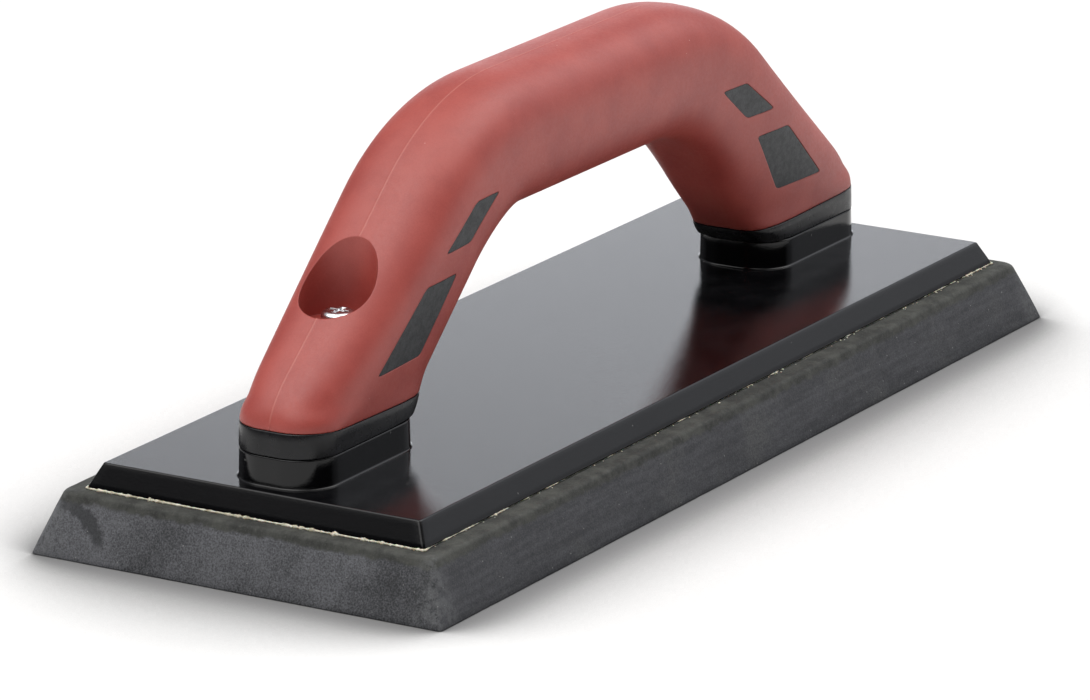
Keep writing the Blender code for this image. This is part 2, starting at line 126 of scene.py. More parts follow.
SCREW_HOLE_RADIUS = 2.75 * MM
SCREW_HOLE_BOTTOM = 15.4 * MM
WASHER_WINDOW_RADIUS = 5.6 * MM
HUB_RADIUS = 5.55 * MM            # of the core's seat seen under the washer
SHANK_RADIUS = 2.35 * MM
HEAD_RIM = 1.2 * MM
HEAD_TRIM = 0.8 * MM              # how much smaller the head is drawn, so the washer's teeth show
DRIVE_HALF_LENGTH, DRIVE_HALF_WIDTH = 2.3 * MM, 0.55 * MM
DRIVE_DEPTH = 1.9 * MM
WASHER_TEETH, POINTS_PER_TOOTH = 14, 6
WASHER_BODY_RADIUS = 4.05 * MM
TOOTH_TWIST = 0.42 * MM

RING_SAMPLES = 720                # how finely a section is sampled before it is spaced evenly
RING_POINTS = 168
LEG_STEPS, BEND_STEPS, LEVEL_STEPS = 34, 34, 16
SHARP_ANGLE = radians(32)         # edges sharper than this are shaded as edges
SHARP_AFTER_CUTS = radians(38)
FLAT_UP = 0.9999                  # plate faces that point up this squarely are shaded flat


# ---------------------------------------------------------------- small helpers
def mix(a, b, share):
    return a + (b - a) * share


def smooth_step(value):
    value = min(max(value, 0.0), 1.0)
    return value * value * (3 - 2 * value)


def soft_minimum(a, b, softness):
    return 0.5 * (a + b - np.sqrt((a - b) ** 2 + softness ** 2))


def noise_at(point, scale, octaves=4):
    """Fractal noise, about -1 to 1, with features of `scale` metres."""
    return noise.fractal(Vector(point) / scale, 0.9, 2.1, octaves)


def shade(mesh, sharp_angle):
    mesh.shade_smooth()
    mesh.set_sharp_from_angle(angle=sharp_angle)


def make_mesh(name, vertices, faces, material, sharp_angle=SHARP_ANGLE):
    """A new mesh object, smooth all over where sharp_angle is None."""
    mesh = bpy.data.meshes.new(name)
    mesh.from_pydata([tuple(v) for v in vertices], [], faces)
    mesh.materials.append(material)
    if sharp_angle is None:
        mesh.shade_smooth()
    else:
        shade(mesh, sharp_angle)
    item = bpy.data.objects.new(name, mesh)
    bpy.context.scene.collection.objects.link(item)
    return item


def place(item, slot, *nodes):
    """Rides with the tool's one body and stands for CAD nodes."""
    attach(item, "root")
    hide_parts(*nodes)
    return item


class Skin:
    """Collects rings of vertices and the quads between them."""

    def __init__(self):
        self.vertices = []
        self.faces = []

    def loft(self, rings, cap_start=True, cap_end=True):
        start = len(self.vertices)
        count = len(rings[0])
        for ring in rings:
            self.vertices.extend(ring)
        for level in range(len(rings) - 1):
            a, b = start + level * count, start + (level + 1) * count
            for i in range(count):
                j = (i + 1) % count
                self.faces.append((a + i, a + j, b + j, b + i))
        if cap_start:
            self.faces.append(tuple(start + i for i in reversed(range(count))))
        if cap_end:
            last = start + (len(rings) - 1) * count
            self.faces.append(tuple(last + i for i in range(count)))

    def make(self, name, material, sharp_angle=SHARP_ANGLE):
        return make_mesh(name, self.vertices, self.faces, material, sharp_angle)


def apply_modifiers(item):
    graph = bpy.context.evaluated_depsgraph_get()
    mesh = bpy.data.meshes.new_from_object(item.evaluated_get(graph))
    item.modifiers.clear()
    item.data = mesh


def boolean(item, operation, cutter):
    """Applies a boolean and removes the cutter."""
    modifier = item.modifiers.new("boolean", 'BOOLEAN')
    modifier.operation = operation
    modifier.solver = 'EXACT'
    modifier.object = cutter
    apply_modifiers(item)
    bpy.data.objects.remove(cutter)


def rounded_outline(half_x, half_y, corner, long_steps, short_steps, corner_steps):
    """Plan outline as (x, y, nx, ny), anticlockwise from the +X side, evenly stepped along each side."""
    outline = []
    steps = (short_steps, long_steps, short_steps, long_steps)
    signs = ((1, 1), (-1, 1), (-1, -1), (1, -1))
    for quarter in range(4):
        sx, sy = signs[quarter]
        cx, cy = sx * (half_x - corner), sy * (half_y - corner)
        for i in range(corner_steps + 1):
            angle = pi / 2 * (quarter + i / corner_steps)
            outline.append((cx + corner * cos(angle), cy + corner * sin(angle), cos(angle), sin(angle)))
        nx, ny = cos(pi / 2 * (quarter + 1)), sin(pi / 2 * (quarter + 1))
        tx, ty = signs[(quarter + 1) % 4]
        ex, ey = tx * (half_x - corner) + corner * nx, ty * (half_y - corner) + corner * ny
        x0, y0 = outline[-1][0], outline[-1][1]
        run = steps[(quarter + 1) % 4]
        for i in range(1, run):
            share = i / run
            outline.append((mix(x0, ex, share), mix(y0, ey, share), nx, ny))
    return outline


# ---------------------------------------------------------------- material helpers
def new_material(name):
    material = bpy.data.materials.new(name)
    material.use_nodes = True
    tree = material.node_tree
    return material, Nodes(tree), tree.nodes["Principled BSDF"]


class Nodes:
    """Short names for the shader nodes used below. Scales are feature sizes in metres."""

    def __init__(self, tree):
        self.tree = tree
        self.coordinates = None

    def add(self, kind, inputs=(), **settings):
        node = self.tree.nodes.new(kind)
        for key, value in settings.items():
            setattr(node, key, value)
        for key, value in dict(inputs).items():
            self.set(node.inputs[key], value)
        return node

    def set(self, socket, value):
        if isinstance(value, bpy.types.NodeSocket):
            self.tree.links.new(value, socket)
        else:
            socket.default_value = value

    def where(self):
        if self.coordinates is None:
            self.coordinates = self.add("ShaderNodeTexCoord").outputs["Object"]
        return self.coordinates

    def noise(self, size, detail=4.0, roughness=0.6, vector=None):
        return self.add("ShaderNodeTexNoise", {
            "Vector": vector or self.where(), "Scale": 1 / size, "Detail": detail,
            "Roughness": roughness}).outputs["Fac"]

    def cells(self, size):
        """Distance to the nearest of many scattered points."""
        return self.add("ShaderNodeTexVoronoi",
                        {"Vector": self.where(), "Scale": 1 / size}).outputs["Distance"]

    def remap(self, value, low, high, to_low=0.0, to_high=1.0, smooth=True):
        return self.add("ShaderNodeMapRange", {
            "Value": value, "From Min": low, "From Max": high, "To Min": to_low, "To Max": to_high},
            interpolation_type='SMOOTHSTEP' if smooth else 'LINEAR').outputs["Result"]

    def math(self, operation, a, b=0.0):
        node = self.add("ShaderNodeMath", operation=operation)
        self.set(node.inputs[0], a)
        self.set(node.inputs[1], b)
        return node.outputs[0]

    def blend(self, share, a, b):
        """Mixes two colours."""
        node = self.add("ShaderNodeMix", data_type='RGBA')
        self.set(node.inputs["Factor"], share)
        for key, value in ((6, a), (7, b)):
            self.set(node.inputs[key], value if isinstance(value, bpy.types.NodeSocket) else (*value, 1.0))
        return node.outputs[2]

    def parts(self, vector):
        return self.add("ShaderNodeSeparateXYZ", {"Vector": vector}).outputs

    def normal_z(self):
        return self.parts(self.add("ShaderNodeNewGeometry").outputs["Normal"])["Z"]

    def bump(self, height, distance, strength=1.0, normal=None):
        inputs = {"Height": height, "Distance": distance, "Strength": strength}
        if normal is not None:
            inputs["Normal"] = normal
        return self.add("ShaderNodeBump", inputs).outputs["Normal"]

    def rounded_edges(self, radius):
        return self.add("ShaderNodeBevel", {"Radius": radius}, samples=8).outputs["Normal"]


# ---------------------------------------------------------------- materials
RUBBER_DARK, RUBBER_PALE = (0.030, 0.031, 0.034), (0.158, 0.161, 0.175)
RUBBER_SIDE_DARK, RUBBER_SIDE_PALE = (0.041, 0.042, 0.047), (0.088, 0.090, 0.099)
RUBBER_SKIN_DARK, RUBBER_SKIN_PALE = (0.030, 0.031, 0.029), (0.066, 0.068, 0.061)
RUBBER_SKIN_WORN, RUBBER_CORNER_WEAR_AND_HIGHLIGHT = (0.110, 0.112, 0.100), (0.16, 0.165, 0.17)
RUBBER_DUST, RUBBER_SPECK = (0.095, 0.097, 0.096), (0.36, 0.36, 0.35)


def rubber_ends(n, fine, mottle, cloud, y):
    """Pale speckled grinding on the pad's ends, a little paler towards +Y."""
    level = n.math('ADD', n.math('MULTIPLY', mottle, 0.24), n.math('MULTIPLY', fine, 0.76))
    drift = n.math('ADD', cloud, n.noise(42 * MM, 2, 0.5))
    level = n.math('ADD', level, n.math('MULTIPLY', n.math('SUBTRACT', drift, 1.0), 0.36))
    level = n.math('ADD', level, n.math('MULTIPLY', y, 0.05 / PAD_HALF[1]))
    return n.blend(n.remap(level, 0.30, 0.72), RUBBER_DARK, RUBBER_PALE)


def rubber_sides(n, fine, cloud):
    """Darker long sides with faint rub marks along them and patches of dust."""
    along = n.add("ShaderNodeMapping", {"Vector": n.where(), "Scale": (0.09, 1.0, 1.0),
                                        "Rotation": (0.0, radians(5), 0.0)}).outputs["Vector"]
    rub = n.noise(1.6 * MM, 5, 0.65, vector=along)
    level = n.math('ADD', n.math('MULTIPLY', rub, 0.42), n.math('MULTIPLY', fine, 0.58))
    sides = n.blend(n.remap(level, 0.38, 0.68), RUBBER_SIDE_DARK, RUBBER_SIDE_PALE)
    dusted = n.math('MULTIPLY', n.remap(cloud, 0.50, 0.72), n.remap(fine, 0.42, 0.62, 0.2, 0.8))
    return n.blend(dusted, sides, RUBBER_DUST)


def rubber_smear(n, x, y, z):
    """Share of a curved dark smear on the -X end, part of a ring round a point near the pad's corner."""
    reach = n.math('SQRT', n.math('ADD', n.math('POWER', n.math('SUBTRACT', y, 45 * MM), 2.0),
                                  n.math('POWER', n.math('ADD', z, 0.3 * MM), 2.0)))
    wobble = n.math('MULTIPLY', n.math('SUBTRACT', n.noise(2.6 * MM, 6, 0.75), 0.5), 5.0 * MM)
    off_arc = n.math('ABSOLUTE', n.math('ADD', n.math('SUBTRACT', reach, 11.5 * MM), wobble))
    smear = n.math('MULTIPLY', n.remap(off_arc, 1.9 * MM, 1.1 * MM), n.remap(x, -0.120, -0.122))
    within = n.math('MULTIPLY', n.remap(y, 47 * MM, 44.5 * MM), n.remap(z, 2.5 * MM, 5.5 * MM))
    return n.math('MULTIPLY', smear, within)


def rubber_material():
    """Charcoal gum rubber: olive moulded skin on top and over the rim, ground sides below it."""
    material, n, shader = new_material("gum_rubber_ground")
    x, y, z = (n.parts(n.where())[k] for k in ("X", "Y", "Z"))
    face = n.parts(n.add("ShaderNodeNewGeometry").outputs["Normal"])
    on_end = n.remap(n.math('ABSOLUTE', face["X"]), 0.35, 0.75)
    fine = n.noise(0.40 * MM, 4, 0.65)
    mottle = n.noise(2.2 * MM, 6, 0.75)
    cloud = n.noise(15 * MM, 4, 0.6)
    ground = n.blend(on_end, rubber_sides(n, fine, cloud), rubber_ends(n, fine, mottle, cloud, y))
    ground = n.blend(n.math('MULTIPLY', rubber_smear(n, x, y, z), 0.8), ground, RUBBER_DARK)
    speck = n.remap(n.cells(2.6 * MM), 0.075, 0.035)
    ground = n.blend(n.math('MULTIPLY', speck, 0.6), ground, RUBBER_SPECK)
    skin = n.blend(n.remap(n.noise(5 * MM, 6, 0.7), 0.36, 0.66), RUBBER_SKIN_DARK, RUBBER_SKIN_PALE)
    skin = n.blend(n.remap(fine, 0.52, 0.72, 0.0, 0.45), skin, RUBBER_SKIN_WORN)
    ragged = n.math('ADD', n.math('SUBTRACT', n.noise(3.6 * MM, 6, 0.75), 0.5),
                    n.math('MULTIPLY', n.math('SUBTRACT', fine, 0.5), 0.35))
    skin_edge = n.math('ADD', z, n.math('MULTIPLY', ragged, 3.4 * MM))
    colour = n.blend(n.remap(skin_edge, 11.3 * MM, 12.2 * MM), ground, skin)
    # Paler near the pad's upright corners: partly wear, partly a painted highlight where the rounded corners
    # catch the light.
    past_x = n.remap(n.math('ABSOLUTE', x), PAD_HALF[0] - 9.5 * MM, PAD_HALF[0] - 4.5 * MM)
    past_y = n.remap(n.math('ABSOLUTE', y), PAD_HALF[1] - 9.5 * MM, PAD_HALF[1] - 4.5 * MM)
    corner = n.math('MULTIPLY', n.math('MULTIPLY', past_x, past_y), n.remap(mottle, 0.40, 0.62))
    colour = n.blend(n.math('MULTIPLY', corner, 0.50), colour, RUBBER_CORNER_WEAR_AND_HIGHLIGHT)
    n.set(shader.inputs["Base Color"], colour)
    n.set(shader.inputs["Roughness"], n.remap(mottle, 0.3, 0.7, 0.60, 0.84))
    shader.inputs["Specular IOR Level"].default_value = 0.35
    relief = n.math('ADD', n.math('MULTIPLY', fine, 0.5), n.math('MULTIPLY', mottle, 0.5))
    n.set(shader.inputs["Normal"], n.bump(relief, 0.16 * MM, 0.6))
    return material


def adhesive_material():
    material, n, shader = new_material("dried_adhesive")
    tone = n.noise(1.4 * MM, 5, 0.65)
    cream = n.blend(n.remap(tone, 0.35, 0.65), (0.42, 0.39, 0.27), (0.86, 0.83, 0.70))
    n.set(shader.inputs["Base Color"], cream)
    n.set(shader.inputs["Roughness"], n.remap(tone, 0.3, 0.7, 0.4, 0.65))
    n.set(shader.inputs["Normal"], n.bump(n.noise(0.3 * MM, 4, 0.7), 0.08 * MM, 0.8))
    shader.inputs["Subsurface Weight"].default_value = 0.15
    shader.inputs["Subsurface Scale"].default_value = 0.5 * MM
    return material


def enamel_material():
    """Gloss black enamel over a casting: faint orange peel, dust and fine rub marks."""
    material, n, shader = new_material("black_enamel_cast")
    peel = n.noise(1.3 * MM, 4, 0.6)
    grit = n.noise(0.36 * MM, 3, 0.7)
    dust = n.remap(n.cells(5.5 * MM), 0.05, 0.02)
    film = n.remap(n.noise(9 * MM, 5, 0.65), 0.35, 0.7)
    up = n.remap(n.normal_z(), 0.4, 0.95)
    # The base is paler in patches on faces that point up: painted light on the tops.
    base = n.blend(n.math('MULTIPLY', film, up), (0.003, 0.003, 0.0036), (0.008, 0.008, 0.009))
    n.set(shader.inputs["Base Color"], n.blend(n.math('MULTIPLY', dust, 0.5), base, (0.25, 0.25, 0.24)))
    n.set(shader.inputs["Roughness"], n.remap(n.noise(3.5 * MM, 5, 0.6), 0.3, 0.7, 0.055, 0.10))
    shader.inputs["IOR"].default_value = 1.40
    low = n.bump(peel, 0.02 * MM, 0.35)
    n.set(shader.inputs["Normal"], n.bump(grit, 0.025 * MM, 0.7, low))
    return material


def collar_material():
    material, n, shader = new_material("black_plastic_satin")
    grain = n.noise(0.45 * MM, 4, 0.6)
    n.set(shader.inputs["Base Color"], n.blend(n.remap(n.noise(4 * MM, 4), 0.35, 0.7),
                                               (0.005, 0.005, 0.006), (0.010, 0.010, 0.012)))
    n.set(shader.inputs["Roughness"], n.remap(n.noise(2 * MM, 5), 0.3, 0.7, 0.25, 0.35))
    shader.inputs["Specular IOR Level"].default_value = 0.36
    n.set(shader.inputs["Normal"], n.bump(grain, 0.02 * MM, 0.5))
    return material


def inlay_material():
    material, n, shader = new_material("black_plastic_textured")
    grain = n.noise(0.35 * MM, 4, 0.65)
    n.set(shader.inputs["Base Color"], n.blend(n.remap(n.noise(1.6 * MM, 5, 0.7), 0.35, 0.68),
                                               (0.026, 0.0275, 0.030), (0.055, 0.057, 0.061)))
    n.set(shader.inputs["Roughness"], n.remap(grain, 0.3, 0.7, 0.48, 0.64))
    n.set(shader.inputs["Normal"], n.bump(grain, 0.05 * MM, 0.7))
    return material


def elastomer_material():
    """Red soft grip: satin with a fine moulded grain, faint mottling and dust."""
    material, n, shader = new_material("red_elastomer_satin")
    grain = n.noise(0.33 * MM, 4, 0.62)
    blotch = n.noise(11 * MM, 4, 0.55)
    tone = n.math('ADD', n.math('MULTIPLY', grain, 0.35), n.math('MULTIPLY', blotch, 0.65))
    base = n.blend(n.remap(tone, 0.36, 0.64), (0.355, 0.050, 0.039), (0.425, 0.071, 0.055))
    seam = n.remap(n.math('ABSOLUTE', n.parts(n.where())["Y"]), 0.26 * MM, 0.10 * MM)
    outside = n.remap(n.normal_z(), 0.15, 0.35)
    base = n.blend(n.math('MULTIPLY', n.math('MULTIPLY', seam, outside), 0.22), base, (0.72, 0.30, 0.24))
    dust = n.remap(n.cells(6.5 * MM), 0.030, 0.012)
    n.set(shader.inputs["Base Color"], n.blend(n.math('MULTIPLY', dust, 0.55), base, (0.80, 0.62, 0.56)))
    n.set(shader.inputs["Roughness"], n.remap(n.noise(0.8 * MM, 5, 0.65), 0.3, 0.7, 0.44, 0.55))
    shader.inputs["Specular IOR Level"].default_value = 0.72
    shader.inputs["Subsurface Weight"].default_value = 0.06
    shader.inputs["Subsurface Radius"].default_value = (1.0, 0.25, 0.18)
    shader.inputs["Subsurface Scale"].default_value = 0.8 * MM
    n.set(shader.inputs["Normal"], n.bump(grain, 0.03 * MM, 0.55, n.rounded_edges(0.35 * MM)))
    return material


def zinc_material():
    material, n, shader = new_material("zinc_steel_bright")
    grain = n.noise(0.5 * MM, 4, 0.65)
    plating = n.blend(n.remap(grain, 0.35, 0.65), (0.72, 0.73, 0.76), (0.90, 0.90, 0.91))
    n.set(shader.inputs["Base Color"], plating)
    shader.inputs["Metallic"].default_value = 1.0
    n.set(shader.inputs["Roughness"], n.remap(n.noise(1.2 * MM, 4), 0.3, 0.7, 0.14, 0.28))
    n.set(shader.inputs["Normal"], n.bump(n.noise(0.2 * MM, 3), 0.02 * MM, 0.5, n.rounded_edges(0.12 * MM)))
    return material


# How far round the tool the painted contact shadow reaches.
SHADOW_REACH = 60 * MM


def floor_material():
    """Pale floor with a soft contact shadow painted into its colour close round the tool."""
    material, n, shader = new_material("studio_floor")
    near = n.add("ShaderNodeAmbientOcclusion", {"Distance": SHADOW_REACH}, samples=32).outputs["AO"]
    pale = n.blend(n.noise(200 * MM, 3), (0.83, 0.83, 0.83), (0.845, 0.845, 0.845))
    # Painted shadow: the floor's base colour darkens from pale to grey where the tool is near.
    clear = n.math('POWER', n.remap(near, 0.70, 0.965, smooth=False), 2.4)
    n.set(shader.inputs["Base Color"], n.blend(clear, (0.245, 0.245, 0.248), pale))
    shader.inputs["Roughness"].default_value = 0.9
    shader.inputs["Specular IOR Level"].default_value = 0.1
    return material


# ---------------------------------------------------------------- pad
def pad_levels():
    """(inset from the bottom edge, height) up the pad's side, over its rim and in under the plate."""
    top = SEAM_Z - 0.04 * MM
    slope = atan2(PAD_LEAN, top)
    levels = []
    for i in range(4):
        angle = pi / 2 * i / 4
        levels.append((PAD_EDGE * (1 - sin(angle)), PAD_EDGE * (1 - cos(angle))))
    centre_z = top - PAD_RIM
    start_z = centre_z + PAD_RIM * sin(slope)
    centre_inset = (start_z - PAD_EDGE) * tan(slope) + PAD_RIM * cos(slope)
    for i in range(15):
        z = mix(PAD_EDGE, start_z, i / 15)
        levels.append(((z - PAD_EDGE) * tan(slope), z))
    for i in range(11):
        angle = mix(slope, pi / 2, i / 10)
        levels.append((centre_inset - PAD_RIM * cos(angle), centre_z + PAD_RIM * sin(angle)))
    for extra in (0.6, 1.3, 2.2, 4.0, 8.0):
        levels.append((centre_inset + extra * MM, top))
    return levels


def build_pad(material):
    """The pad, with slightly wavy faces, small nicks and a soft uneven rim."""
    skin = Skin()
    rings = []
    for inset, z in pad_levels():
        share = min(z / SEAM_Z, 1.0)
        corner = mix(*PAD_CORNERS, share ** 1.5) * MM
        ring = []
        rim = smooth_step((share - 0.72) / 0.2)
        for x, y, nx, ny in rounded_outline(PAD_HALF[0] - inset, PAD_HALF[1] - inset, corner, 170, 66, 8):
            wave = 0.5 + 0.5 * noise_at((x, y, z * 1.5), 9 * MM)
            nick = max(0.0, noise_at((x + 0.3, y, z), 2.6 * MM, 2) - 0.42)
            pull = 0.10 * MM * wave + 0.22 * MM * nick
            lift = 0.05 * MM * rim * (noise_at((x, y, 0.2), 14 * MM, 3) - 1.0)
            ring.append((x - nx * pull, y - ny * pull, max(z + lift, 0.0)))
        rings.append(ring)
    skin.loft(rings)
    return place(skin.make("pad_ground_rubber", material, radians(60)), "gum_rubber", "rubber_pad")


# ---------------------------------------------------------------- adhesive
def build_adhesive(material):
    """Thin film between pad and plate with an uneven, broken bead squeezed out round the plate."""
    rng = np.random.default_rng(SEED)
    skin = Skin()
    half_x, half_y = PLATE_HALF[0] - FILM_INSET, PLATE_HALF[1] - FILM_INSET
    film = rounded_outline(half_x, half_y, BEAD_CORNER, 20, 8, 4)
    skin.loft([[(x, y, z) for x, y, _, _ in film] for z in (SEAM_Z - FILM_HALF, SEAM_Z + FILM_HALF)])
    outline = rounded_outline(PLATE_HALF[0], PLATE_HALF[1], BEAD_CORNER, 760, 290, 6)
    rings = [bead_ring(*point) for point in outline]
    rings.append(rings[0])
    skin.loft(rings, False, False)
    for _ in range(CRUMBS):
        x, y, nx, ny = outline[int(rng.integers(len(outline)))]
        radius = float(rng.uniform(0.10, 0.30)) * MM * float(rng.uniform(0.6, 1.0))
        out = float(rng.uniform(0.0, 0.5)) ** 2 * 2.2 * MM
        centre = Vector((x + nx * out, y + ny * out, SEAM_Z - FILM_HALF + radius * 0.3))
        add_crumb(skin, centre, radius)
    return place(skin.make("adhesive_bead", material, None), "adhesive", "adhesive_layer")


def bead_ring(x, y, nx, ny, points=8):
    """One section of the bead: full along the ends, broken along the sides and fuller near their ends."""
    on_end = smooth_step((abs(x) - PLATE_HALF[0] + 2 * MM) / (2 * MM))
    near_end = smooth_step((abs(x) - PLATE_HALF[0] + 52 * MM) / (34 * MM))
    flow = 0.5 + 0.5 * noise_at((x, y, 0.07), 7 * MM, 3)
    lump = 0.5 + 0.5 * noise_at((x, y, 0.31), 0.8 * MM, 3)
    most = mix(mix(0.22, 0.46, near_end), 0.36, on_end)
    radius = (mix(0.02, 0.26, on_end) + most * flow ** 1.4) * MM * (0.40 + 1.5 * lump ** 2)
    radius *= smooth_step((flow - mix(mix(0.52, 0.34, near_end), 0.06, on_end)) / 0.24)
    radius = max(radius, 0.012 * MM)
    push = radius * 0.35 - mix(0.32, 0.12, on_end) * MM
    ring = []
    for i in range(points):
        angle = 2 * pi * i / points
        out = push + radius * cos(angle)
        ring.append((x + nx * out, y + ny * out, SEAM_Z + 0.09 * MM + radius * 0.9 * sin(angle)))
    return ring


def add_crumb(skin, centre, radius):
    """A small irregular blob."""
    rings = []
    for level in range(1, 5):
        tilt = pi * level / 5
        ring = []
        for i in range(7):
            angle = 2 * pi * i / 7
            way = Vector((sin(tilt) * cos(angle), sin(tilt) * sin(angle), -cos(tilt) * 0.7))
            size = radius * (1 + 0.35 * noise_at(centre + way * radius, 0.35 * MM, 2))
            ring.append(tuple(centre + way * size))
        rings.append(ring)
    skin.loft(rings)


# ---------------------------------------------------------------- plate
def build_plate(material):
    """The casting: plate with undercut bottom edge, two bosses and their screw holes."""
    skin = Skin()
    bottom = SEAM_Z + 0.06 * MM
    slope = atan2(PLATE_DRAFT, PLATE_TOP - bottom)
    centre_z = PLATE_TOP - PLATE_RIM
    start_z = centre_z + PLATE_RIM * sin(slope)
    centre_inset = (start_z - bottom) * tan(slope) + PLATE_RIM * cos(slope)
    levels = [(0.62 * MM, bottom), (0.58 * MM, bottom + 0.22 * MM), (0.22 * MM, bottom + 0.36 * MM)]
    for i in range(6):
        z = mix(bottom + 0.5 * MM, start_z, i / 6)
        levels.append(((z - bottom) * tan(slope), z))
    for i in range(9):
        angle = mix(slope, pi / 2, i / 8)
        levels.append((centre_inset - PLATE_RIM * cos(angle), centre_z + PLATE_RIM * sin(angle)))
    for extra in (0.15, 0.5, 2.0):
        levels.append((centre_inset + extra * MM, PLATE_TOP))
    rings = []
    for inset, z in levels:
        ring = []
        half_x, half_y = PLATE_HALF[0] - inset, PLATE_HALF[1] - inset
        for x, y, nx, ny in rounded_outline(half_x, half_y, PLATE_CORNER, 120, 46, 6):
            wave = 0.03 * MM * noise_at((x, y, 0.5), 22 * MM, 2) - 0.03 * MM
            ring.append((x + nx * wave, y + ny * wave, z))
        rings.append(ring)
    skin.loft(rings)
    plate = skin.make("plate_casting", material, radians(50))
    bosses = Skin()
    for middle in (BOSS_MIDDLE, -BOSS_MIDDLE):
        bosses.loft(boss_rings(middle))
    boolean(plate, 'UNION', bosses.make("bosses", material))
    holes = Skin()
    for x in (SCREW_X, -SCREW_X):
        holes.loft([circle(x, SCREW_HOLE_RADIUS, z, 48) for z in (SCREW_HOLE_BOTTOM, BOSS_TOP + 5 * MM)])
    boolean(plate, 'DIFFERENCE', holes.make("holes", material))
    shade(plate.data, SHARP_AFTER_CUTS)
    for face in plate.data.polygons:
        face.use_smooth = face.normal.z < FLAT_UP
    return place(plate, "black_enamel", "backing_plate")


def boss_rings(middle):
    """Fillet at the plate, drafted side and rounded top edge of one boss."""
    levels = [(BOSS_FILLET, PLATE_TOP - 1 * MM), (BOSS_FILLET, PLATE_TOP - 0.002 * MM)]
    for i in range(1, 11):
        angle = pi / 2 * i / 10
        levels.append((BOSS_FILLET * (1 - sin(angle)), PLATE_TOP + BOSS_FILLET * (1 - cos(angle))))
    for share in (0.33, 0.66):
        levels.append((-BOSS_DRAFT * share, mix(PLATE_TOP + BOSS_FILLET, BOSS_TOP - BOSS_EDGE, share)))
    for i in range(6):
        angle = pi / 2 * i / 5
        levels.append((-BOSS_DRAFT - BOSS_EDGE * (1 - cos(angle)), BOSS_TOP - BOSS_EDGE * (1 - sin(angle))))
    levels.append((-BOSS_DRAFT - BOSS_EDGE - 0.4 * MM, BOSS_TOP))
    rings = []
    for grow, z in levels:
        half_x, half_y = BOSS_HALF_LENGTH + grow, BOSS_HALF_WIDTH + grow
        outline = rounded_outline(half_x, half_y, BOSS_CORNER + grow, 10, 5, 24)
        rings.append([(middle + x, y, z) for x, y, _, _ in outline])
    return rings


def circle(x, radius, z, points):
    angles = [2 * pi * i / points for i in range(points)]
    return [(x + radius * cos(a), radius * sin(a), z) for a in angles]


# ---------------------------------------------------------------- handle
def leg_station(z):
    """(x, z, plane angle, normal angle, leg share, bend share) of the section at height z on the leg."""
    x = LEG_FOOT_X - (z - BOSS_TOP) * tan(LEG_ANGLE)
    leg_share = smooth_step((z - BOSS_TOP) / (KNEE_Z - BOSS_TOP))
    turn = max(z - TURN_START, 0.0) / cos(LEG_ANGLE) / (LEG_TURN_LENGTH + BEND_LENGTH)
    tilt = SEAM_TILT * min(max((z - FOOT_BOTTOM) / (COLLAR_TOP - FOOT_BOTTOM), 0.0), 1.0)
    return x, z, mix(tilt, pi / 2, smooth_step(turn)), LEG_ANGLE, leg_share, 0.0


def handle_stations(foot_z):
    """Stations of half the handle, from the +X foot to the middle."""
    stations = [leg_station(mix(foot_z, KNEE_Z, i / LEG_STEPS)) for i in range(LEG_STEPS)]
    for i in range(BEND_STEPS + 1):
        share = i / BEND_STEPS
        angle = mix(LEG_ANGLE, pi / 2, share)
        x = BEND_X + BEND_RADIUS * cos(angle)
        z = BEND_Z + BEND_RADIUS * sin(angle)
        turn = (LEG_TURN_LENGTH + BEND_LENGTH * share) / (LEG_TURN_LENGTH + BEND_LENGTH)
        stations.append((x, z, mix(SEAM_TILT, pi / 2, smooth_step(turn)), angle, 1.0, smooth_step(share)))
    for i in range(1, LEVEL_STEPS + 1):
        stations.append((BEND_X * (1 - i / LEVEL_STEPS), GRIP_HEIGHT, pi / 2, pi / 2, 1.0, 1.0))
    return stations


def section(station, inset):
    """One section of the handle as an array of points, starting on its outer centre line."""
    x, z, plane, normal, leg_share, bend_share = station
    thick = mix(mix(FOOT_HALF_THICK, KNEE_HALF_THICK, leg_share), GRIP_HALF_THICK, bend_share) - inset
    wide = mix(mix(FOOT_HALF_WIDE, KNEE_HALF_WIDE, leg_share), GRIP_HALF_WIDE, bend_share) - inset
    above_foot = smooth_step((z - BOSS_TOP) / SQUARE_BLEND)
    outer_thick = thick - FOOT_TRIM * (1 - smooth_step((z - BOSS_TOP) / FOOT_BLEND))
    egg = mix(LEG_EGG, GRIP_EGG, bend_share) * above_foot
    inner_power = mix(FOOT_SQUARENESS, mix(LEG_SQUARENESS, GRIP_SQUARENESS, bend_share), above_foot)
    outer_power = mix(FOOT_SQUARENESS, OUTER_ROUNDNESS, above_foot)
    stretch = 1 / cos(normal - plane)
    angle = pi / 2 + 2 * pi * np.arange(RING_SAMPLES) / RING_SAMPLES
    sines, cosines = np.sin(angle), np.cos(angle)
    sines[np.abs(sines) < 1e-9] = 0.0
    cosines[np.abs(cosines) < 1e-9] = 0.0
    power = np.where(sines > 0, 2 / outer_power, 2 / inner_power)
    across = np.sign(cosines) * np.abs(cosines) ** power
    along = np.sign(sines) * np.abs(sines) ** power
    y = wide * across * (1 + egg * along)
    reach = np.where(sines > 0, outer_thick, thick) * stretch * along
    past_flat = np.clip(np.abs(y) - (BOSS_HALF_WIDTH - BOSS_CORNER), 0.0, BOSS_CORNER)
    limit = BOSS_OUTER_END - inset - BOSS_CORNER + np.sqrt(BOSS_CORNER ** 2 - past_flat ** 2)
    px = soft_minimum(x + reach * cos(plane), limit, SHOULDER_SOFTNESS)
    return np.stack([px, y, z + reach * sin(plane)], axis=1)


# Points beside the handle's parting line, and how proud of the surface it stands at the first two.
SEAM_STOPS = (0.0, 0.10 * MM, 0.22 * MM, 0.45 * MM)
SEAM_HEIGHTS = (0.07 * MM, 0.035 * MM)


